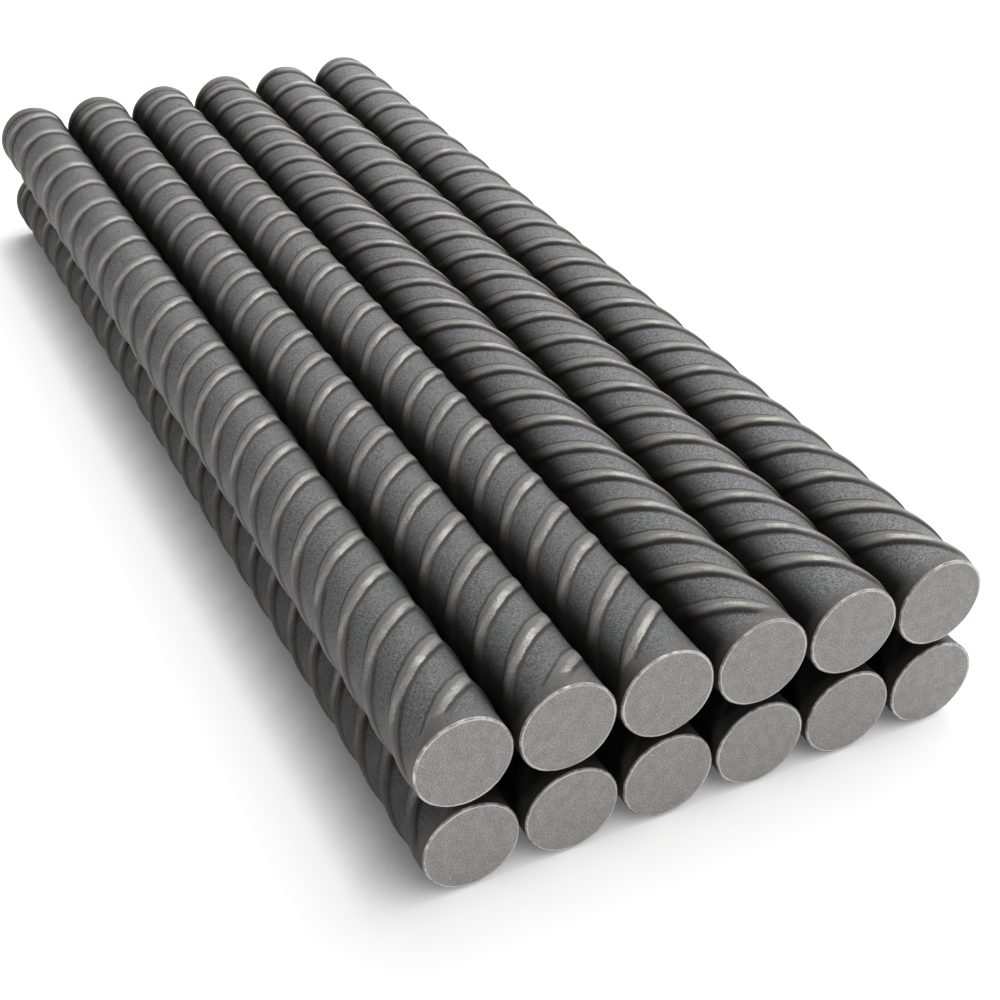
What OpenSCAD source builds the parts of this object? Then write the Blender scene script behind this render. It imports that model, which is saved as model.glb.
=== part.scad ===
// Bundle of straight round reinforcing bars of one size. The bars lie side by side in two level
// layers with their cut ends flush. They run along X, the layers are stacked along Z, and the
// origin is on the floor under the middle of the bundle.

/* [Bar] */
// Nominal diameter: that of a plain round bar of the same weight per metre
bar_d = 32; // [10:1:50]
// Length of a bar from cut end to cut end
bar_length = 500; // [200:10:2000]
// Width of the bevel that the cut leaves round the edge of each end
end_bevel = 1; // [0.2:0.1:3]
// Length of that bevel along the bar
end_bevel_length = 1.5; // [0.2:0.1:5]

/* [Stack] */
// Bars side by side in each layer
bars_per_layer = 6; // [2:1:12]
// Gap between neighbouring bars of a layer, where rib meets rib
side_gap = 0.6; // [0.2:0.1:1.5]
// Gap between a bar and the one that it lies on, where rib rests on rib
rest_gap = 0.9; // [0.2:0.1:1.5]
// Sideways offset of the upper layer against the lower one
layer_offset = 2; // [0:0.5:4]

/* [Hidden] */
$fn = 96;
bar_r = bar_d / 2;
side_pitch = bar_d + side_gap;
rest_pitch = bar_d + rest_gap;

// An upper bar lies a little to one side of the crown of the bar under it.
layer_rise = sqrt(rest_pitch * rest_pitch - layer_offset * layer_offset);

LAYERS = ["lower", "upper"];
steel_colors = [[0.33, 0.34, 0.36], [0.40, 0.41, 0.42]];

function bar_name(layer, place) = str(LAYERS[layer], "_bar_", place);
function bar_y(layer, place) =
    (place - (bars_per_layer + 1) / 2) * side_pitch + (0.5 - layer) * layer_offset;
function bar_z(layer) = bar_r + layer * layer_rise;

// Half of the bar's outline along its length, from the middle of one cut face to that of the other
module bar_profile()
{
    half = bar_length / 2;
    face_r = bar_r - end_bevel;
    shank_half = half - end_bevel_length;
    polygon([
        [0, -half],
        [face_r, -half],
        [bar_r, -shank_half],
        [bar_r, shank_half],
        [face_r, half],
        [0, half]
    ]);
}

// One bar in its place: layer 0 lies on the floor, and place 1 is at the low end of Y
module bar(layer, place)
{
    color(steel_colors[layer])
        translate([0, bar_y(layer, place), bar_z(layer)])
            rotate([0, 90, 0])
                rotate_extrude()
                    bar_profile();
}

for (layer = [0 : len(LAYERS) - 1])
    for (place = [1 : bars_per_layer])
        bar(layer, place);
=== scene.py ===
"""Looks of a rebar bundle: ribbed bars in two layers with mill scale, worn ribs and cut ends, on a stage."""

import math

import bpy
import numpy as np
from bpy.props import FloatProperty, FloatVectorProperty, IntProperty, PointerProperty
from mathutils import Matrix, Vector


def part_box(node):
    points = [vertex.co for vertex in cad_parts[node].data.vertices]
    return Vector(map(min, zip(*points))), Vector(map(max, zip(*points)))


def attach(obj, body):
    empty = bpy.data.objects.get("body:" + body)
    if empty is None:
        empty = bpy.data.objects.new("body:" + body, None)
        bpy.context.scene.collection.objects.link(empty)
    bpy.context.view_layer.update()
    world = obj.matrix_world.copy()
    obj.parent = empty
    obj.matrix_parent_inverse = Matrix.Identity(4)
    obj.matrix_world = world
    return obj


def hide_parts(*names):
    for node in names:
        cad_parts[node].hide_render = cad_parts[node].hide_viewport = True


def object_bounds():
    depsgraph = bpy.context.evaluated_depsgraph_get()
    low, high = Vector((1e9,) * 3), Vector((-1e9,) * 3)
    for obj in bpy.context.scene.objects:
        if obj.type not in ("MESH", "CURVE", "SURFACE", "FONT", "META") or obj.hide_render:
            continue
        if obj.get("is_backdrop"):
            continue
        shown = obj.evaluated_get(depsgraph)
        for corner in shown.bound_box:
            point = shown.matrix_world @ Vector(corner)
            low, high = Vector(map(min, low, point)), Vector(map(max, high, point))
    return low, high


bl_info = {
    "name": "Rebar Bundle",
    "version": (1, 0, 0),
    "blender": (4, 5, 0),
    "location": "3D View > Sidebar > Rebar",
    "description": "Ribbed reinforcing bars stacked in two layers, with their finish and a studio stage",
    "category": "Object",
}

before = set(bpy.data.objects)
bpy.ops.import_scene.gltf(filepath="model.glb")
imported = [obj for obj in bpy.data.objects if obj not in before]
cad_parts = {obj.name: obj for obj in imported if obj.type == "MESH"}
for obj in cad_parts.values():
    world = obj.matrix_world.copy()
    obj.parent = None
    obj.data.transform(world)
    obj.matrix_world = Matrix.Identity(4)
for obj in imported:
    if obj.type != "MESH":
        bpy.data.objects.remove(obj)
CAD_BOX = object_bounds()

MM = 0.001
BODY = "root"

# Angle of a bar's top from its +Y side
CROWN = math.radians(90)

# Share of the half length where the ribs take the lean and breadth of the front half, how much broader they
# are at the back end, and the share over which their spacing changes
FRONT_START = 0.2
BACK_GAIN = 0.3
SPACING_BLEND = 0.25
# How far the first row's crests have moved to the back at its start, and the angles from its middle over
# which that fades and over which they move fully
EARLY_TURN = 0.4
EARLY_FADE = (math.radians(-65), math.radians(-40))
LATE_TURN = (math.radians(-12), math.radians(30))
# Powers that round a rib: along its crescent, and across its front and its back flank
CRESCENT_POWER = 0.45
FRONT_POWER = 2.4
BACK_POWER = 3.0
# Where a rib's fillet starts and ends, in widths of its flank
FILLET_START = 0.9
RIB_FOOT = 1.06
# Share of its breadth that a rib keeps at its tips, and shares of its height over which its marks fade in
TIP_BREADTH = 0.75
TIP_FADE = (0.1, 0.4)
# Waves round a bar, each a size and a number in a turn: of the ribs' places in millimetres, and of the
# heights of the ribs and of the lips
RIB_WANDER = ((0.20, 3), (0.12, 7), (0.10, 19))
UNEVEN_RIBS = ((0.03, 4), (0.025, 11))
LIP_DENTS = ((0.6, 2), (0.4, 5))
# Sets of chance phases for the ribs' waves, and the number of ribs before they repeat
PHASE_SETS = 6
PHASE_RIBS = 64
# Half the width of the painted shade line along a rib's foot, and how far up its flank the front line lies
FOOT_SHADE = 2 * MM
FRONT_SHADE_SHIFT = 0.7 * MM
# Where the ribs have run out at a cut end and what stays of them, the reach of its lip, and the bead's wear
RUN_OUT_START = 0.5 * MM
END_RIB_SHARE = 0.05
LIP_REACH = (1.0 * MM, 5.0 * MM)
BEAD_WEAR = 0.93

# Rings of the mesh: on a rib's back and front flank in widths of it, past its foot, round a cut edge in
# shares of its radius, and on a cut face in shares of the bar's
BACK_RINGS = (RIB_FOOT, 0.9, 0.7, 0.46, 0.22)
FRONT_RINGS = (0, 0.28, 0.55, 0.8, RIB_FOOT)
PAST_FOOT = (0.25 * MM, FOOT_SHADE)
EDGE_RINGS = (1.3, 1.0, 0.75, 0.53, 0.35, 0.2, 0.09, 0.02, 0)
FACE_RINGS = (0.97, 0.85, 0.6, 0.3)
# Distance between the rings beside the cut ends, and where they stop in radii of the cut edge
END_ROWS = 0.45 * MM
END_STOP = 1.7
# Length over which the rings turn square to the bar, in lengths of a rib's lean, and the blend of the rows
SQUARING = 1.5
ROW_BLEND = 0.15
# Steps for looking up places along a bar, their reach in half lengths, and rounds to find a rib's middle
LOOKUP_STEPS = 2000
LOOKUP_REACH = 1.2
LEAN_ROUNDS = 8

# Noise of the steel: scales, detail with roughness, and the ranges that become masks
SKIN_STRETCH = (1.0, 0.55, 0.55)
SKIN_BLOTCHES = 160.0
SKIN_GRAIN = 2200.0
CHIP_SCALE = 350.0
CUT_BLOTCHES = 300.0
CUT_GRAIN = 1800.0
COARSE_NOISE = (2.0, 0.6)
FINE_NOISE = (3.0, 0.7)
GRAIN_MEAN = 0.5
BLOTCH_RANGE = (0.32, 0.68)
SPECK_RANGE = (0.37, 0.63)
CHIP_RANGE = (0.36, 0.62)
# Reach from a cut end of its band and rim, and the rim's from the edge of the cut face
BAND_REACH = (2.5 * MM, 6.0 * MM)
RIM_REACH = (0.4 * MM, 0.8 * MM)
FACE_RIM = (0.4 * MM, 0.1 * MM)
# Painted shade, in core diameters: below the crowns, in from the sides and up from the floor. Then its
# strength low on the stack, and how much of it a cut end's band is free of
SEAM_BELOW = (0.30, 0.04)
SEAM_INSIDE = (0.55, 0.35)
LOW_SHADE_HEIGHTS = (0.5, 1.4)
LOW_SHADE = 0.55
BAND_UNSHADED = 0.3
# Rib flanks that get painted shade: how far they turn round the bar, to the front and to the -Y side
TURNED_RANGE = (0.02, 0.2)
FRONT_RANGE = (0.12, 0.4)
ASIDE_RANGE = (-0.5, -0.12)
FLANK_RAGGED = 0.5
FLANK_SHADE_DEPTH = 0.6
# Crests that are rubbed bare: ragged, less in blotches, on the sides and in hollows of the grain
CREST_RANGE = (0.88, 1.0)
CREST_RAGGED = 0.3
RUB_BLOTCHED = 0.55
# Keeping bare crests off the sides paints a highlight on the tops
UPWARD_SHEEN_RANGE = (0.3, 0.8)
SIDE_RUB_AND_SHEEN = 0.15
RUB_GRAIN = (0.35, 0.6)
RUB_HOLLOWS = 0.6
# Strengths of the ribs' scale, the painted shade lines at their feet, and the rim and the band at a cut end
RIB_RANGE = (0.05, 0.35)
RIB_SPECKS = 0.75
FOOT_RANGE = (0.55, 0.95)
BACK_SHADE_DEPTH = 0.8
FRONT_SHADE_DEPTH = 0.75
RIM_CHIPPED = 0.5
BAND_SHARES = (0.4, 0.9)
# Shine and grain of the skin and of the cut ends
BARE_METAL = 0.6
SEAM_METAL = 0.5
SKIN_ROUGHNESS = (0.42, 0.54)
SEAM_DULLS = 0.4
BARE_SHINES = 0.12
SKIN_BUMP = 0.35 * MM
BARE_BUMP = 0.85
CUT_MOTTLE = 0.3
CUT_ROUGHNESS = 0.5
CUT_DULLS = 0.1
CUT_BUMP = 0.1 * MM
CUT_BUMP_STRENGTH = 0.6

# Lamps and floor, in metres
WHITE = (1, 1, 1)
KEY_PLACE = (-0.42, 0.94, 2.12)
KEY_WIDTH = 1.9
BACK_PLACE = (-2.0, 0.95, 1.45)
BACK_WIDTH = 1.2
LAMP_AIM = (0, 0, 0.03)
FLOOR_REACH = 8.0
FLOOR_ROUGHNESS = 0.9
# Distances from the middle between which the far floor, which the lamps don't reach, turns plain white
WHITE_FROM = 1.2
WHITE_FULL = 4.0
# Side whose shadow is painted into the floor's glow, and how near the bundle has to be to cast it
PAINTED_SHADOW_SIDE = (0.43, 0.75, 0.5)
SHADE_REACH = 0.025
SHADE_RAYS = 8
SHADE_RANGE = (0.25, 0.85)
# Backdrop's light on the -Y and the +Y side, how far round it changes, and how high the ceiling starts
BACKDROP_SHARES = (0.7, 1.3)
BACKDROP_TURN = 0.8
CEILING_RANGE = (0.2, 0.45)
# Width of the camera's sensor in millimetres, and the nearest that it sees in metres
SENSOR_WIDTH = 36
CLIP_START = 0.01

# How each bar happens to lie: the angle about its axis of the middle of its first row of ribs, in degrees
# from the +Y side over the top, the place along the bar where one of its ribs crosses the crown, in
# millimetres, the share by which its ribs are closer in the front half than in the back half, and how light
# its scale is.
BAR_LIES = {
    "lower_bar_1": (125, 90, 0.10, 0.95),
    "lower_bar_2": (126, 94, 0.06, 1.0),
    "lower_bar_3": (124, 99, 0.12, 0.95),
    "lower_bar_4": (125, 97, 0.08, 1.05),
    "lower_bar_5": (126, 93, 0.05, 1.0),
    "lower_bar_6": (124, 95, 0.10, 1.05),
    "upper_bar_1": (127, 144, 0.146, 0.95),
    "upper_bar_2": (120, 149, 0.07, 0.96),
    "upper_bar_3": (120, 158.4, 0.02, 1.01),
    "upper_bar_4": (255, 145.2, 0.04, 1.28),
    "upper_bar_5": (255, 155, 0.126, 1.4),
    "upper_bar_6": (255, 158, 0.126, 1.45),
}


def length_property(name, description, millimetres):
    """A length that a user can change, given in millimetres and kept in metres."""
    return FloatProperty(
        name=name, description=description, default=millimetres * MM, unit="LENGTH", precision=5
    )


def angle_property(name, description, degrees):
    """An angle that a user can change, given in degrees."""
    return FloatProperty(name=name, description=description, default=math.radians(degrees), subtype="ANGLE")


def color_property(name, description, red, green, blue):
    """A colour that a user can change."""
    return FloatVectorProperty(
        name=name, description=description, default=(red, green, blue), subtype="COLOR", min=0, max=1
    )


class RebarSizes(bpy.types.PropertyGroup):
    """Sizes of a rolled bar"""

    core_d: length_property("Core Diameter", "Diameter of the bar between its ribs", 30.4)
    rib_height: length_property("Rib Height", "Height of a rib at the middle of its crescent", 1.29)
    rib_pitch: length_property("Rib Pitch", "Distance from rib to rib along the bar's front half", 19.5)
    steep_front: length_property("Steep Front", "Width of the first row's ribs from crest to +X foot", 1.4)
    steep_back: length_property("Steep Back", "Width of the first row's ribs from crest to -X foot", 5.0)
    turned_front: length_property("Turned Front", "First row, from its moved crest to the +X foot", 3.6)
    turned_back: length_property("Turned Back", "First row, from its moved crest to the -X foot", 2.6)
    even_front: length_property("Even Front", "Width of the second row's ribs from crest to +X foot", 2.4)
    even_back: length_property("Even Back", "Width of the second row's ribs from crest to -X foot", 3.9)
    rib_reach: angle_property("Rib Reach", "Angle from the middle of a crescent rib to its tip", 88)
    lean_front: angle_property("Front Lean", "Angle of the ribs to a square cut in the front half", 40.5)
    lean_back: angle_property("Back Lean", "Angle of the ribs to a square cut at the back end", 16)
    end_round: length_property("End Rounding", "Radius of the edge round each cut end", 0.5)
    end_clear: length_property("End Clearance", "Length at each cut end over which the ribs run out", 6)
    end_plain: length_property("Plain End", "No rib crosses the crown nearer to a cut end than this", 3)
    end_lip: length_property("End Lip", "Height of the lip that the cut raises round each end", 0.2)
    bead_height: length_property("Bead Height", "Height of the bead round the back end", 0.65)
    bead_width: length_property("Bead Width", "Width of the bead round the back end", 6)
    columns: IntProperty(name="Columns", description="Mesh points round a bar", default=80, min=24)


class RebarFinish(bpy.types.PropertyGroup):
    """Colours of the steel"""

    scale_color: color_property("Mill Scale", "Grey of the rolled skin", 0.320, 0.323, 0.328)
    scale_dark: color_property("Dark Scale", "Darker patches of the rolled skin", 0.102, 0.104, 0.107)
    # Painted shade along the feet of the ribs and on their front and -Y flanks
    foot_color: color_property("Rib Foot", "Brown-black along the foot of a rib", 0.030, 0.027, 0.022)
    rib_color: color_property("Rib Scale", "Brown-grey of the scale on the ribs", 0.275, 0.260, 0.233)
    band_color: color_property("End Band", "Brown-grey of the skin beside a cut end", 0.230, 0.216, 0.194)
    worn_color: color_property("Worn Steel", "Warm grey of ribs that are rubbed bare", 0.580, 0.560, 0.525)
    cut_color: color_property("Cut Steel", "Grey of the cut ends", 0.560, 0.549, 0.526)
    cut_dark: color_property("Dark Cut Steel", "Darker grain of the cut ends", 0.325, 0.316, 0.298)
    # Lighter than any steel: the rim is bare steel and also a painted highlight along the cut edge
    rim_color: color_property("Rim", "Bare steel of the edge round each cut end", 0.900, 0.885, 0.850)
    # Near-black painted as the shade in the gaps between bars and low on the stack
    seam_color: color_property("Seam", "Black of the grime in the seams between bars", 0.012, 0.012, 0.011)


class RebarStage(bpy.types.PropertyGroup):
    """Floor, light and camera"""

    floor_color: color_property("Floor", "Colour of the studio floor", 0.45, 0.45, 0.45)
    floor_seen: color_property("Seen Floor", "Colour of the floor as the camera sees it", 0.62, 0.62, 0.62)
    floor_glow: FloatProperty(name="Floor Glow", description="Lifts the lit floor to white", default=0.71)
    ambient: FloatProperty(name="Ambient", description="Light from overhead", default=0.16, min=0)
    horizon: FloatProperty(name="Horizon", description="Light off the backdrop", default=0.39, min=0)
    key_power: FloatProperty(name="Key", description="Power of the lamp overhead", default=35.0, unit="POWER")
    back_power: FloatProperty(name="Back", description="Power of the lamp behind", default=10.0, unit="POWER")
    camera_place: FloatVectorProperty(
        name="Camera Place",
        description="Where the camera stands",
        default=(0.5628, -0.2253, 0.3688),
        subtype="TRANSLATION",
        unit="LENGTH",
    )
    camera_azimuth: angle_property("Camera Azimuth", "Turn of the camera from the -Y side", 63.83)
    camera_elevation: angle_property("Camera Elevation", "Angle at which the camera looks down", 34.09)
    lens: FloatProperty(name="Lens", description="Focal length in millimetres", default=60.85)


# Shape of a bar


def smoothstep(value, low, high):
    """Rises smoothly from 0 at low to 1 at high."""
    t = np.clip((value - low) / (high - low), 0, 1)
    return t * t * (3 - 2 * t)


def lean_slope(sizes, along, half):
    """Tangent of the ribs' lean at places along the bar."""
    share = smoothstep(along, -half, FRONT_START * half)
    return np.tan(sizes.lean_back + share * (sizes.lean_front - sizes.lean_back))


def rib_breadth(along, half):
    """How much broader the ribs are at places along the bar than in its front half."""
    return 1 + BACK_GAIN - BACK_GAIN * smoothstep(along, -half, FRONT_START * half)


def crest_turn(turn):
    """How far the first row's crests have moved to the back at an angle: 0 not at all, 1 fully."""
    wrapped = np.mod(turn + math.pi, 2 * math.pi) - math.pi
    early = EARLY_TURN - EARLY_TURN * smoothstep(wrapped, *EARLY_FADE)
    return early + smoothstep(wrapped, *LATE_TURN)


def row_arc(sizes, turn):
    """Way round the core from the middle of a row of ribs, along which they lean.

    It rises over the first row and falls over the second.
    """
    wrapped = np.mod(turn + math.pi / 2, 2 * math.pi) - math.pi / 2
    return sizes.core_d / 2 * np.where(wrapped <= math.pi / 2, wrapped, math.pi - wrapped)


def evened(along, drift, half):
    """Places along the bar on a scale on which its ribs are evenly spaced."""
    share = drift / 2
    return (1 - share) * along + share * np.sqrt(along ** 2 + (SPACING_BLEND * half) ** 2)


def rib_place(sizes, along, turn, half):
    """Place along the bar, at the middle of its row, of the rib line through each point."""
    arc = row_arc(sizes, turn)
    place = along
    for _ in range(LEAN_ROUNDS):
        place = along - lean_slope(sizes, place, half) * arc
    return place


def crescent(sizes, turn):
    """Share of the full rib height at an angle from the middle of the first row."""
    tip = math.cos(sizes.rib_reach)
    return np.clip((np.abs(np.cos(turn)) - tip) / (1 - tip), 0, 1) ** CRESCENT_POWER


def rounded_rib(across, power):
    """Height of a rib's section from its crest at 0 to its foot: round on top, with a short fillet."""
    join, end = FILLET_START, RIB_FOOT
    drop = 1 / (join ** power + power * join ** (power - 1) * (end - join) / 2)
    top = 1 - drop * across ** power
    fillet = (1 - drop * join ** power) * (np.clip(end - across, 0, None) / (end - join)) ** 2
    return np.where(across < join, top, fillet)


def waves_round(base, turns, waves, phases):
    """A base value with waves round the bar added to it."""
    pairs = zip(waves, phases)
    return sum((size * np.sin(number * turns + phase) for (size, number), phase in pairs), base)


def own_phases(phases, count):
    """Chance phases of the rib that each point belongs to."""
    return phases[:, count.astype(int) % PHASE_RIBS]


def rib_wander(turns, count, phases):
    """How far a rib wanders along the bar on its way round it."""
    own = own_phases(phases, count)
    return MM * waves_round(0, turns, RIB_WANDER, (own[0], own[1], own[4]))


def rib_crests(sizes, first, drift, half, straight):
    """Places along the bar of the ribs of a row, at its middle, apart from those near the ends."""
    fine = np.linspace(-half, half, LOOKUP_STEPS + 1)
    even = evened(fine, drift, half)
    start = evened(first, drift, half)
    low, high = (np.interp(side, fine, even) - start for side in (straight - half, half - straight))
    ribs = np.arange(math.ceil(low / sizes.rib_pitch), math.floor(high / sizes.rib_pitch) + 1)
    return np.interp(start + ribs * sizes.rib_pitch, even, fine)


def ring_stations(sizes, crests, half, front_width, back_width, set_back=0.0):
    """Places along the bar of the mesh's rings: close together on each rib and at the cut ends."""
    past = np.array(PAST_FOOT)
    on_back = back_width * np.array(BACK_RINGS)
    on_front = front_width * np.array(FRONT_RINGS)
    back = -np.concatenate([back_width * RIB_FOOT + past[::-1], on_back])
    front = np.concatenate([on_front, front_width * RIB_FOOT + past])
    around = np.concatenate([back, front]) - set_back
    across = np.sqrt(1 + lean_slope(sizes, crests, half) ** 2) * rib_breadth(crests, half)
    middle = (crests[:, None] + across[:, None] * around).ravel()
    stop = half - END_STOP * sizes.end_round
    to_front = np.linspace(middle.max(), stop, round((stop - crests.max()) / END_ROWS))[1:]
    to_back = np.linspace(middle.min(), -stop, round((stop + crests.min()) / END_ROWS))[1:]
    edge = half - sizes.end_round * np.array(EDGE_RINGS)
    return np.sort(np.concatenate([middle, to_front, to_back, edge, -edge]))


def skin_grid(sizes, half, first, drift, phases):
    """Places along and turns about a bar of the grid on its rolled skin. Its rings follow the ribs."""
    turn = np.arange(sizes.columns) * 2 * math.pi / sizes.columns - math.pi / 2
    straight = SQUARING * np.max(row_arc(sizes, turn)) * math.tan(sizes.lean_front)
    crests = rib_crests(sizes, first, drift, half, straight)
    steep = ring_stations(sizes, crests, half, sizes.steep_front, sizes.steep_back)[:, None]
    set_back = sizes.turned_front - sizes.steep_front
    turned = ring_stations(sizes, crests, half, sizes.turned_front, sizes.turned_back, set_back)[:, None]
    smooth = ring_stations(sizes, crests, half, sizes.even_front, sizes.even_back)[:, None]
    in_row = smoothstep(np.cos(turn), -ROW_BLEND, ROW_BLEND)
    station = smooth + in_row * (steep - smooth + crest_turn(turn) * (turned - steep))
    count = np.round((evened(station, drift, half) - evened(first, drift, half)) / sizes.rib_pitch)
    wander = rib_wander(turn, count, phases)
    follow = np.clip((half - np.abs(station)) / straight, 0, 1)
    along = station + follow * (lean_slope(sizes, station, half) * row_arc(sizes, turn) - wander)
    return along, np.broadcast_to(turn, along.shape)


def bar_skin(sizes, half, roll, crown_rib, drift, seed):
    """Places along, turns about and radii of the grid on a bar's rolled skin, with masks of its ribs."""
    first = float(rib_place(sizes, np.array([crown_rib]), np.array([CROWN - roll]), half)[0])
    rng = np.random.default_rng(seed)
    phases = rng.uniform(0, 2 * math.pi, (PHASE_SETS, PHASE_RIBS))
    along, turns = skin_grid(sizes, half, first, drift, phases)

    place = rib_place(sizes, along, turns, half)
    even = evened(place, drift, half) - evened(first, drift, half)
    count = np.round(even / sizes.rib_pitch)
    own = own_phases(phases, count)
    uneven = waves_round(1, turns, UNEVEN_RIBS, (own[2], own[3]))
    off = even - count * sizes.rib_pitch + rib_wander(turns, count, phases)
    off = off / np.sqrt(1 + lean_slope(sizes, place, half) ** 2)
    reach = LOOKUP_REACH * half
    fine = np.linspace(-reach, reach, round(LOOKUP_REACH * LOOKUP_STEPS) + 1)
    even_crown = evened(crown_rib, drift, half) + count * sizes.rib_pitch
    at_crown = np.interp(even_crown, evened(fine, drift, half), fine)
    share = crescent(sizes, turns) * (np.abs(at_crown) < half - sizes.end_plain)
    broad = rib_breadth(place, half) * (TIP_BREADTH + (1 - TIP_BREADTH) * share)
    in_first = np.cos(turns) >= 0
    moved = crest_turn(turns)
    set_back = sizes.turned_front - sizes.steep_front
    front = np.where(in_first, sizes.steep_front + moved * set_back, sizes.even_front) * broad
    first_back = sizes.steep_back + moved * (sizes.turned_back - sizes.steep_back)
    back = np.where(in_first, first_back, sizes.even_back) * broad
    off = off + np.where(in_first, moved * set_back * rib_breadth(place, half), 0)
    ahead = rounded_rib(np.abs(off) / front, FRONT_POWER)
    behind = rounded_rib(np.abs(off) / back, BACK_POWER)
    section = np.where(off > 0, ahead, behind)
    to_end = half - np.abs(along)
    run_out = smoothstep(to_end, RUN_OUT_START, sizes.end_clear)
    dents = rng.uniform(0, 2 * math.pi, (2, 2))[(along > 0).astype(int)]
    dented = waves_round(1, turns, LIP_DENTS, (dents[..., 0], dents[..., 1]))
    lip = sizes.end_lip * dented * (1 - smoothstep(to_end, *LIP_REACH))
    kept = END_RIB_SHARE + (1 - END_RIB_SHARE) * run_out
    radius = sizes.core_d / 2 + lip + sizes.rib_height * share * section * uneven * kept

    from_back = half + along
    bead = np.clip(1 - (2 * from_back / sizes.bead_width - 1) ** 2, 0, 1)
    radius = radius + sizes.bead_height * bead
    bead_foot_shade = np.clip(1 - np.abs(from_back - sizes.bead_width) / FOOT_SHADE, 0, 1)

    ribbed = smoothstep(share, *TIP_FADE) * run_out
    # Painted shade lines along each rib's back and front foot and in front of the bead
    back_foot_shade = np.clip(1 - np.abs(off + back * RIB_FOOT) / FOOT_SHADE, 0, 1)
    front_foot_shade = np.clip(1 - np.abs(off - front * RIB_FOOT + FRONT_SHADE_SHIFT) / FOOT_SHADE, 0, 1)
    masks = {
        "rib_crest": np.maximum(ribbed * section, BEAD_WEAR * bead),
        "rib_back_shade": ribbed * back_foot_shade,
        "rib_front_shade": np.maximum(ribbed * front_foot_shade, bead_foot_shade),
    }

    depth = np.clip(sizes.end_round - to_end, 0, sizes.end_round)
    radius = radius - sizes.end_round + np.sqrt(sizes.end_round ** 2 - depth ** 2)
    return along, turns, radius, masks


def bar_mesh(name, sizes, half, roll, crown_rib, drift, seed):
    """A closed mesh of one bar along X. Material slot 0 is its rolled skin, and slot 1 its cut ends."""
    along, turns, radius, masks = bar_skin(sizes, half, roll, crown_rib, drift, seed)
    rings, columns = along.shape
    skin = np.stack([along, radius * np.cos(turns + roll), radius * np.sin(turns + roll)], -1)
    points = [skin.reshape(-1, 3)]
    ring = np.arange(columns)
    after = (ring + 1) % columns
    quads = []
    for low in range(0, (rings - 1) * columns, columns):
        high = low + columns
        quads.append(np.stack([low + ring, low + after, high + after, high + ring], 1))

    fans = []
    base = rings * columns
    for row, order in ((0, 1), (rings - 1, -1)):
        rim = row * columns + ring
        for share in FACE_RINGS:
            points.append(skin[row] * (1, share, share))
            inner = base + ring
            quads.append(np.stack([rim, inner, inner[after], rim[after]], 1)[:, ::order])
            rim = inner
            base += columns
        points.append(skin[row, :1] * (1, 0, 0))
        fans.append(np.stack([rim, np.full(columns, base), rim[after]], 1)[:, ::order])
        base += 1

    mesh = bpy.data.meshes.new(name)
    faces = np.concatenate(quads).tolist() + np.concatenate(fans).tolist()
    mesh.from_pydata(np.concatenate(points).tolist(), [], faces)
    slots = np.ones(len(faces), np.int32)
    slots[:(rings - 1) * columns] = 0
    mesh.polygons.foreach_set("material_index", slots)
    mesh.polygons.foreach_set("use_smooth", np.ones(len(faces), bool))
    for key, values in masks.items():
        whole = np.zeros(base, np.float32)
        whole[:values.size] = values.ravel()
        mesh.attributes.new(key, "FLOAT", "POINT").data.foreach_set("value", whole)
    mesh.update()
    return mesh


# Nodes


def add(tree, kind, **settings):
    """A new node. Settings are its properties, or else its inputs, with _ for a space in their names."""
    node = tree.nodes.new(kind)
    for key, value in settings.items():
        if key in node.bl_rna.properties:
            setattr(node, key, value)
        else:
            feed(tree, node.inputs[key.replace("_", " ")], value)
    return node


def feed(tree, socket, value):
    """Link a socket to another one, or set its value."""
    if isinstance(value, bpy.types.NodeSocket):
        tree.links.new(value, socket)
    elif socket.type == "RGBA":
        socket.default_value = (*value, 1)
    else:
        socket.default_value = value


def maths(tree, operation, *values):
    """Output of a Math node."""
    node = add(tree, "ShaderNodeMath", operation=operation)
    for socket, value in zip(node.inputs, values):
        feed(tree, socket, value)
    return node.outputs[0]


def power_2(tree, value):
    """Output of a Math node that squares a value."""
    return maths(tree, "MULTIPLY", value, value)


def remap(tree, value, low, high, to_low=0.0, to_high=1.0, kind="SMOOTHSTEP"):
    """Output of a Map Range node, which is smooth at both ends unless its kind is given."""
    node = add(tree, "ShaderNodeMapRange", interpolation_type=kind)
    for socket, given in zip(node.inputs, (value, low, high, to_low, to_high)):
        feed(tree, socket, given)
    return node.outputs[0]


def blend(tree, share, first, second, kind="MIX"):
    """Output of a colour Mix node."""
    node = add(tree, "ShaderNodeMix", data_type="RGBA", blend_type=kind)
    for socket, value in zip([s for s in node.inputs if s.enabled], (share, first, second)):
        feed(tree, socket, value)
    return next(s for s in node.outputs if s.enabled)


def noise(tree, place, scale, detail, roughness):
    """Value of a noise texture."""
    node = add(tree, "ShaderNodeTexNoise", Vector=place, Scale=scale, Detail=detail, Roughness=roughness)
    return node.outputs["Fac"]


def new_group(name, inputs, outputs):
    """An empty shader node group with named sockets, and its inner ends."""
    tree = bpy.data.node_groups.new(name, "ShaderNodeTree")
    for socket, kind in inputs:
        tree.interface.new_socket(socket, in_out="INPUT", socket_type=kind)
    for socket, kind in outputs:
        tree.interface.new_socket(socket, in_out="OUTPUT", socket_type=kind)
    return tree, tree.nodes.new("NodeGroupInput").outputs, tree.nodes.new("NodeGroupOutput").inputs


def place_group(tree, group, **values):
    """A node that uses a group, with its own values. Returns its outputs."""
    node = tree.nodes.new("ShaderNodeGroup")
    node.node_tree = group
    for key, value in values.items():
        feed(tree, node.inputs[key.replace("_", " ")], value)
    return node.outputs


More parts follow.
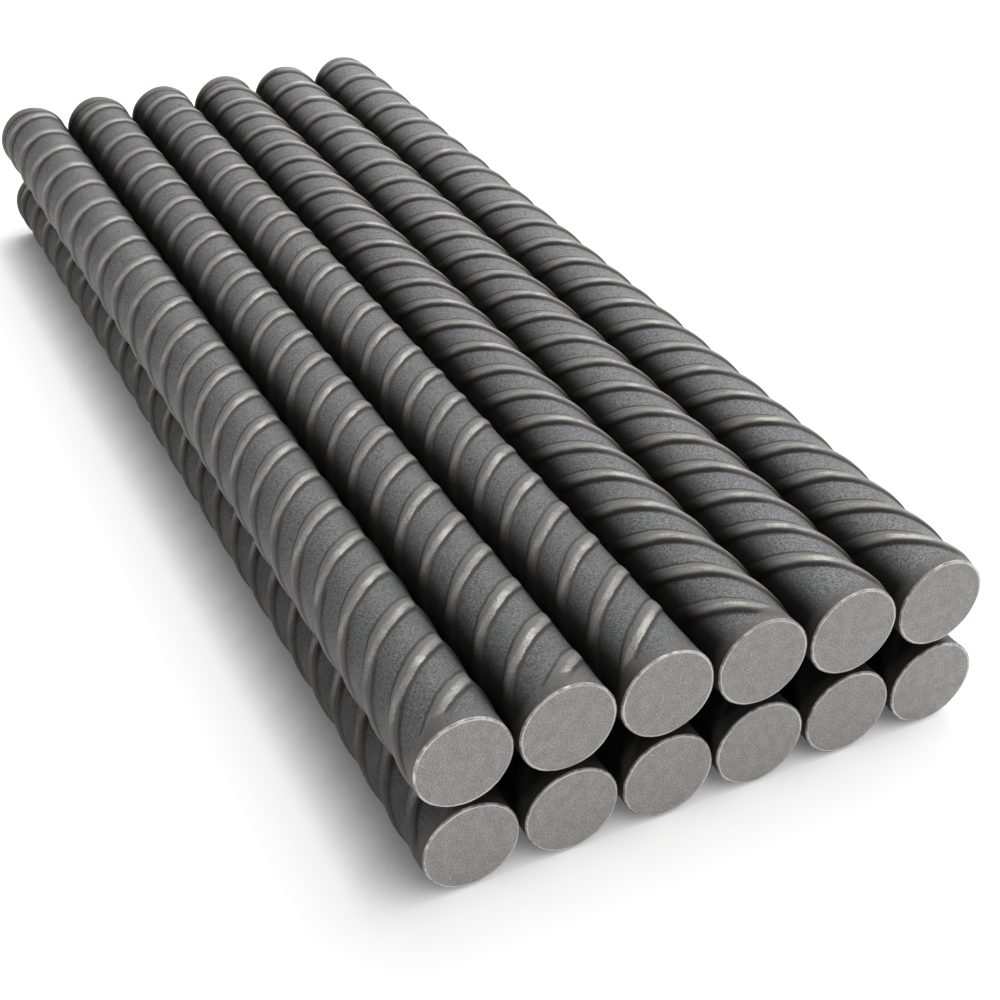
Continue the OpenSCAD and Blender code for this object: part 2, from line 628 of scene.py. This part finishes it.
def bar_ends_group():
    """Masks of the band and the rim at a bar's ends, and the distance from its axis."""
    group = bpy.data.node_groups.get("bar_ends")
    if group:
        return group
    number = "NodeSocketFloat"
    group, given, out = new_group(
        "bar_ends",
        [("Coordinates", "NodeSocketVector"), ("Half Length", number)],
        [("End Band", number), ("Rim", number), ("Radius", number)],
    )
    split = add(group, "ShaderNodeSeparateXYZ", Vector=given["Coordinates"])
    across = add(group, "ShaderNodeCombineXYZ", Y=split.outputs["Y"], Z=split.outputs["Z"])
    length = add(group, "ShaderNodeVectorMath", operation="LENGTH")
    feed(group, length.inputs[0], across.outputs[0])
    to_end = maths(group, "SUBTRACT", given["Half Length"], maths(group, "ABSOLUTE", split.outputs["X"]))
    feed(group, out["End Band"], remap(group, to_end, *BAND_REACH, 1.0, 0.0))
    feed(group, out["Rim"], remap(group, to_end, *RIM_REACH, 1.0, 0.0))
    feed(group, out["Radius"], length.outputs["Value"])
    return group


def steel_grain_group():
    """Mottling of steel: soft blotches, a leathery grain and small specks."""
    group = bpy.data.node_groups.get("steel_grain")
    if group:
        return group
    number = "NodeSocketFloat"
    group, given, out = new_group(
        "steel_grain",
        [("Coordinates", "NodeSocketVector"), ("Blotch Scale", number), ("Grain Scale", number)],
        [("Blotches", number), ("Grain", number), ("Specks", number)],
    )
    place = given["Coordinates"]
    grain = noise(group, place, given["Grain Scale"], *FINE_NOISE)
    blotches = noise(group, place, given["Blotch Scale"], *COARSE_NOISE)
    feed(group, out["Blotches"], remap(group, blotches, *BLOTCH_RANGE))
    feed(group, out["Grain"], grain)
    feed(group, out["Specks"], remap(group, grain, *SPECK_RANGE, 1.0, 0.0))
    return group


# Finishes


def new_material(name):
    """A material with only a Principled shader. Returns it with its tree and that shader."""
    material = bpy.data.materials.new(name)
    material.use_nodes = True
    tree = material.node_tree
    return material, tree, tree.nodes["Principled BSDF"]


def stack_seams(tree, place, scene, end_band):
    """Mask of painted shade: between the bars of the upper layer, and low on the stack."""
    high = Vector(CAD_BOX[1])
    bar_d = scene.rebar_sizes.core_d
    split = add(tree, "ShaderNodeSeparateXYZ", Vector=place)
    black, clean = (high.z - share * bar_d for share in SEAM_BELOW)
    below = remap(tree, split.outputs["Z"], black, clean, 1.0, 0.0)
    side = maths(tree, "ABSOLUTE", split.outputs["Y"])
    inner, outer = (high.y - share * bar_d for share in SEAM_INSIDE)
    inside = remap(tree, side, inner, outer, 1.0, 0.0)
    low, lifted = (share * bar_d for share in LOW_SHADE_HEIGHTS)
    low_shade = remap(tree, split.outputs["Z"], low, lifted, LOW_SHADE, 0.0)
    seam_and_low_shade = maths(tree, "MAXIMUM", maths(tree, "MULTIPLY", below, inside), low_shade)
    near_cut = maths(tree, "SUBTRACT", 1.0, maths(tree, "MULTIPLY", end_band, BAND_UNSHADED))
    return maths(tree, "MULTIPLY", seam_and_low_shade, near_cut)


def dull_flank(tree, own, grain):
    """Mask, ragged at its edge, of the rib flanks to the front and the -Y side, which get painted shade."""
    split = add(tree, "ShaderNodeSeparateXYZ", Vector=own).outputs
    surface = add(tree, "ShaderNodeNewGeometry").outputs
    normal = add(tree, "ShaderNodeSeparateXYZ", Vector=surface["Normal"]).outputs
    turned = maths(
        tree,
        "SUBTRACT",
        maths(tree, "MULTIPLY", normal["Z"], split["Y"]),
        maths(tree, "MULTIPLY", normal["Y"], split["Z"]),
    )
    squares = maths(tree, "ADD", power_2(tree, split["Y"]), power_2(tree, split["Z"]))
    radius = maths(tree, "SQRT", squares)
    round_bar = remap(tree, maths(tree, "DIVIDE", turned, radius), *TURNED_RANGE)
    ragged = maths(tree, "MULTIPLY", maths(tree, "SUBTRACT", grain, GRAIN_MEAN), FLANK_RAGGED)
    front = remap(tree, maths(tree, "ADD", normal["X"], ragged), *FRONT_RANGE)
    aside = remap(tree, normal["Y"], *ASIDE_RANGE, 1.0, 0.0)
    return maths(tree, "MULTIPLY", front, maths(tree, "MULTIPLY", round_bar, aside))


def rolled_skin(scene, half):
    """Mill scale of the rolled bar, with painted shade at the foot of each rib and on its flanks, and rubbed
    bare along its crest.
    """
    finish = scene.rebar_finish
    material, tree, shader = new_material("rolled_skin")
    own = add(tree, "ShaderNodeTexCoord").outputs["Object"]
    geometry = add(tree, "ShaderNodeNewGeometry").outputs
    place = geometry["Position"]
    ends = place_group(tree, bar_ends_group(), Coordinates=own, Half_Length=half)
    stretched = add(tree, "ShaderNodeVectorMath", operation="MULTIPLY")
    for socket, value in zip(stretched.inputs, (place, SKIN_STRETCH)):
        feed(tree, socket, value)
    steel = place_group(
        tree,
        steel_grain_group(),
        Coordinates=stretched.outputs[0],
        Blotch_Scale=SKIN_BLOTCHES,
        Grain_Scale=SKIN_GRAIN,
    )
    crest, back_foot_shade, front_foot_shade = (
        add(tree, "ShaderNodeAttribute", attribute_name=key).outputs["Fac"]
        for key in ("rib_crest", "rib_back_shade", "rib_front_shade")
    )

    patchy = remap(tree, steel["Blotches"], 0.0, 1.0, 1.0, RUB_BLOTCHED)
    flank_shade = dull_flank(tree, own, steel["Grain"])
    ragged = maths(tree, "MULTIPLY", maths(tree, "SUBTRACT", steel["Grain"], GRAIN_MEAN), CREST_RAGGED)
    top = remap(tree, maths(tree, "ADD", crest, ragged), *CREST_RANGE)
    rubbed_and_sheen = maths(tree, "MULTIPLY", top, patchy)
    rubbed_and_sheen = maths(tree, "MULTIPLY", rubbed_and_sheen, maths(tree, "SUBTRACT", 1.0, flank_shade))
    # Bare crests are real wear; keeping them to the upward faces is painted highlight on the tops
    upward = add(tree, "ShaderNodeSeparateXYZ", Vector=geometry["Normal"]).outputs["Z"]
    rubbed_and_sheen = maths(tree, "MULTIPLY", rubbed_and_sheen, remap(tree, upward, *UPWARD_SHEEN_RANGE, SIDE_RUB_AND_SHEEN, 1.0))
    grainy = remap(tree, steel["Grain"], *RUB_GRAIN, RUB_HOLLOWS, 1.0)
    rubbed_and_sheen = maths(tree, "MULTIPLY", rubbed_and_sheen, grainy)
    chips = remap(tree, noise(tree, place, CHIP_SCALE, *COARSE_NOISE), *CHIP_RANGE)
    rim = maths(tree, "MULTIPLY", ends["Rim"], remap(tree, chips, 0.0, 1.0, RIM_CHIPPED, 1.0))
    bare = maths(tree, "MAXIMUM", rubbed_and_sheen, rim)
    # Mask of the painted shade between the bars and low on the stack
    seam_shade = stack_seams(tree, place, scene, ends["End Band"])

    color = blend(tree, steel["Specks"], finish.scale_color, finish.scale_dark)
    color = blend(tree, 1.0, color, add(tree, "ShaderNodeObjectInfo").outputs["Color"], "MULTIPLY")
    speckled = remap(tree, steel["Specks"], 0.0, 1.0, 1.0, RIB_SPECKS)
    ribbed = maths(tree, "MULTIPLY", remap(tree, crest, *RIB_RANGE), speckled)
    color = blend(tree, ribbed, color, finish.rib_color)
    # Paints the shade lines along the feet of the ribs
    for edge, darkness in ((back_foot_shade, BACK_SHADE_DEPTH), (front_foot_shade, FRONT_SHADE_DEPTH)):
        color = blend(tree, remap(tree, edge, *FOOT_RANGE, 0.0, darkness), color, finish.foot_color)
    band = maths(tree, "MULTIPLY", ends["End Band"], remap(tree, chips, 0.0, 1.0, *BAND_SHARES))
    color = blend(tree, band, color, finish.band_color)
    color = blend(tree, rubbed_and_sheen, color, finish.worn_color)
    # Paints the front and -Y flanks of the ribs dark as their shade, less near a cut end
    clear = maths(tree, "MAXIMUM", maths(tree, "SUBTRACT", FLANK_SHADE_DEPTH, ends["End Band"]), 0.0)
    color = blend(tree, maths(tree, "MULTIPLY", flank_shade, clear), color, finish.foot_color)
    # Paints the shade between the bars and low on the stack
    color = blend(tree, seam_shade, color, finish.seam_color)
    # The rim is bare steel, partly painted highlight along the cut edge
    feed(tree, shader.inputs["Base Color"], blend(tree, rim, color, finish.rim_color))

    metal = maths(tree, "SUBTRACT", BARE_METAL, maths(tree, "MULTIPLY", seam_shade, SEAM_METAL))
    feed(tree, shader.inputs["Metallic"], maths(tree, "MULTIPLY", bare, metal))
    dull = remap(tree, steel["Blotches"], 0.0, 1.0, *SKIN_ROUGHNESS)
    dull = maths(tree, "ADD", dull, maths(tree, "MULTIPLY", seam_shade, SEAM_DULLS))
    dull = maths(tree, "SUBTRACT", dull, maths(tree, "MULTIPLY", bare, BARE_SHINES))
    feed(tree, shader.inputs["Roughness"], dull)

    fine = maths(tree, "MULTIPLY", steel["Grain"], remap(tree, bare, 0.0, 1.0, 1.0, BARE_BUMP))
    bump = add(tree, "ShaderNodeBump", Strength=1.0, Distance=SKIN_BUMP, Height=fine)
    feed(tree, shader.inputs["Normal"], bump.outputs[0])
    return material


def cut_end(scene, half):
    """Flat cut steel with a sandy grain and a bare rim that is also painted as a highlight."""
    sizes, finish = scene.rebar_sizes, scene.rebar_finish
    material, tree, shader = new_material("cut_end")
    own = add(tree, "ShaderNodeTexCoord").outputs["Object"]
    place = add(tree, "ShaderNodeNewGeometry").outputs["Position"]
    ends = place_group(tree, bar_ends_group(), Coordinates=own, Half_Length=half)
    steel = place_group(
        tree, steel_grain_group(), Coordinates=place, Blotch_Scale=CUT_BLOTCHES, Grain_Scale=CUT_GRAIN
    )

    color = blend(tree, steel["Specks"], finish.cut_color, finish.cut_dark)
    mottled = maths(tree, "MULTIPLY", steel["Blotches"], CUT_MOTTLE)
    color = blend(tree, mottled, color, finish.cut_dark)
    edge = sizes.core_d / 2 + sizes.end_lip - sizes.end_round
    rim = remap(tree, ends["Radius"], *(edge - inset for inset in FACE_RIM))
    # The rim is partly painted highlight along the cut edge
    color = blend(tree, rim, color, finish.rim_color)
    feed(tree, shader.inputs["Base Color"], color)
    shader.inputs["Metallic"].default_value = BARE_METAL
    dull = maths(tree, "ADD", CUT_ROUGHNESS, maths(tree, "MULTIPLY", steel["Blotches"], CUT_DULLS))
    feed(tree, shader.inputs["Roughness"], dull)
    bump = add(
        tree, "ShaderNodeBump", Strength=CUT_BUMP_STRENGTH, Distance=CUT_BUMP, Height=steel["Grain"]
    )
    feed(tree, shader.inputs["Normal"], bump.outputs[0])
    return material


def seen_directly(tree):
    """1 for rays by which the camera sees a surface, also in a reflection, and 0 for all others."""
    path = add(tree, "ShaderNodeLightPath").outputs
    mirrored = maths(tree, "MAXIMUM", path["Is Glossy Ray"], path["Is Transmission Ray"])
    return maths(tree, "MAXIMUM", path["Is Camera Ray"], mirrored)


def studio_floor(color, seen_color, glow):
    """Matt pale floor that is seen white, apart from the lamps' shadows and a shadow of the bundle painted
    into its glow.
    """
    material, tree, shader = new_material("studio_floor")
    seen = seen_directly(tree)
    feed(tree, shader.inputs["Base Color"], blend(tree, seen, color, seen_color))
    shader.inputs["Roughness"].default_value = FLOOR_ROUGHNESS
    shader.inputs["Specular IOR Level"].default_value = 0.0
    feed(tree, shader.inputs["Emission Color"], WHITE)
    away = add(tree, "ShaderNodeVectorMath", operation="LENGTH")
    feed(tree, away.inputs[0], add(tree, "ShaderNodeNewGeometry").outputs["Position"])
    lift = remap(tree, away.outputs["Value"], WHITE_FROM, WHITE_FULL, glow, 1.0)
    shadow_side = add(tree, "ShaderNodeCombineXYZ", **dict(zip("XYZ", PAINTED_SHADOW_SIDE))).outputs[0]
    # Painted shadow: the glow dims where the bundle stands toward that side
    painted_shadow = add(
        tree, "ShaderNodeAmbientOcclusion", samples=SHADE_RAYS, Distance=SHADE_REACH, Normal=shadow_side
    )
    unshaded = remap(tree, painted_shadow.outputs["AO"], *SHADE_RANGE, kind="LINEAR")
    lift = maths(tree, "MULTIPLY", lift, unshaded)
    feed(tree, shader.inputs["Emission Strength"], maths(tree, "MULTIPLY", seen, lift))
    return material


# Pieces


def lay_bars(scene, layer):
    """Ribbed bars in the place of a layer's plain ones."""
    names = [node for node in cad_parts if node.startswith(layer + "_bar_")]
    if not names:
        raise ValueError("the frame has no bars in the layer " + layer)
    for node in sorted(names):
        low, high = (Vector(corner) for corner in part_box(node))
        middle, half = (low + high) / 2, (high.x - low.x) / 2
        roll, crown_rib, drift, tone = BAR_LIES[node]
        name = node + "_ribbed"
        seed = list(BAR_LIES).index(node)
        mesh = bar_mesh(name, scene.rebar_sizes, half, math.radians(roll), crown_rib * MM, drift, seed)
        for make in (rolled_skin, cut_end):
            mesh.materials.append(bpy.data.materials.get(make.__name__) or make(scene, half))
        bar = bpy.data.objects.new(name, mesh)
        bar.location = middle
        bar.color = (tone, tone, tone, 1)
        scene.collection.objects.link(bar)
        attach(bar, BODY)
        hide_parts(node)


def add_lamp(scene, name, power, size, place, aim):
    """A square soft lamp that points at a place."""
    lamp = bpy.data.lights.new(name, "AREA")
    lamp.shape = "SQUARE"
    lamp.size = size
    lamp.energy = power
    holder = bpy.data.objects.new(name, lamp)
    holder.location = place
    holder.rotation_euler = (Vector(aim) - Vector(place)).to_track_quat("-Z", "Y").to_euler()
    scene.collection.objects.link(holder)


def light_world(scene, horizon, ambient):
    """A studio room: a backdrop that is seen white and is brighter on the +Y side, and a dim ceiling."""
    world = bpy.data.worlds.new("studio")
    world.use_nodes = True
    scene.world = world
    tree = world.node_tree
    way = add(tree, "ShaderNodeSeparateXYZ", Vector=add(tree, "ShaderNodeTexCoord").outputs["Generated"])
    back = tree.nodes["Background"]
    feed(tree, back.inputs["Color"], WHITE)
    dim, bright = (share * horizon for share in BACKDROP_SHARES)
    backdrop = remap(tree, way.outputs["Y"], -BACKDROP_TURN, BACKDROP_TURN, dim, bright)
    white = maths(tree, "MAXIMUM", seen_directly(tree), backdrop)
    feed(tree, back.inputs["Strength"], remap(tree, way.outputs["Z"], *CEILING_RANGE, white, ambient))


def set_stage(scene):
    """Floor, lamps, world and camera."""
    stage = scene.rebar_stage
    sides = ((-1, -1), (1, -1), (1, 1), (-1, 1))
    corners = [(x * FLOOR_REACH, y * FLOOR_REACH, 0) for x, y in sides]
    mesh = bpy.data.meshes.new("studio_floor")
    mesh.from_pydata(corners, [], [(0, 1, 2, 3)])
    mesh.materials.append(studio_floor(stage.floor_color, stage.floor_seen, stage.floor_glow))
    floor = bpy.data.objects.new("studio_floor", mesh)
    floor.location.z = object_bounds()[0][2]
    scene.collection.objects.link(floor)
    floor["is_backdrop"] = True

    light_world(scene, stage.horizon, stage.ambient)
    add_lamp(scene, "key", stage.key_power, KEY_WIDTH, KEY_PLACE, LAMP_AIM)
    add_lamp(scene, "back", stage.back_power, BACK_WIDTH, BACK_PLACE, LAMP_AIM)

    camera = bpy.data.objects.new("camera", bpy.data.cameras.new("camera"))
    camera.data.lens = stage.lens
    camera.data.sensor_width = SENSOR_WIDTH
    camera.data.clip_start = CLIP_START
    camera.location = stage.camera_place
    camera.rotation_euler = (math.pi / 2 - stage.camera_elevation, 0, stage.camera_azimuth)
    scene.collection.objects.link(camera)
    scene.camera = camera
    scene.view_settings.view_transform = "Standard"


class REBAR_OT_lower_bars(bpy.types.Operator):
    """Lay the ribbed bars of the lower layer"""

    bl_idname = "rebar.lower_bars"
    bl_label = "Lower Bars"

    def execute(self, context):
        lay_bars(context.scene, "lower")
        return {"FINISHED"}


class REBAR_OT_upper_bars(bpy.types.Operator):
    """Lay the ribbed bars of the upper layer"""

    bl_idname = "rebar.upper_bars"
    bl_label = "Upper Bars"

    def execute(self, context):
        lay_bars(context.scene, "upper")
        return {"FINISHED"}


class REBAR_OT_stage(bpy.types.Operator):
    """Set the floor, the lamps and the camera"""

    bl_idname = "rebar.stage"
    bl_label = "Stage"

    def execute(self, context):
        set_stage(context.scene)
        return {"FINISHED"}


class VIEW3D_PT_rebar(bpy.types.Panel):
    """Sizes, colours and steps of the bundle"""

    bl_label = "Rebar Bundle"
    bl_space_type = "VIEW_3D"
    bl_region_type = "UI"
    bl_category = "Rebar"

    def draw(self, context):
        layout = self.layout
        for settings in (context.scene.rebar_sizes, context.scene.rebar_finish, context.scene.rebar_stage):
            box = layout.box()
            for key in settings.__annotations__:
                box.prop(settings, key)
        for step in OPERATORS:
            layout.operator(step.bl_idname)


OPERATORS = (REBAR_OT_lower_bars, REBAR_OT_upper_bars, REBAR_OT_stage)
SETTINGS = {"rebar_sizes": RebarSizes, "rebar_finish": RebarFinish, "rebar_stage": RebarStage}


def register():
    for cls in (*SETTINGS.values(), *OPERATORS, VIEW3D_PT_rebar):
        bpy.utils.register_class(cls)
    for key, cls in SETTINGS.items():
        setattr(bpy.types.Scene, key, PointerProperty(type=cls))


def unregister():
    for key in SETTINGS:
        delattr(bpy.types.Scene, key)
    for cls in (VIEW3D_PT_rebar, *OPERATORS, *SETTINGS.values()):
        bpy.utils.unregister_class(cls)


def main():
    register()
    bpy.ops.rebar.lower_bars()
    bpy.ops.rebar.upper_bars()
    bpy.ops.rebar.stage()


if __name__ == "__main__":
    main()
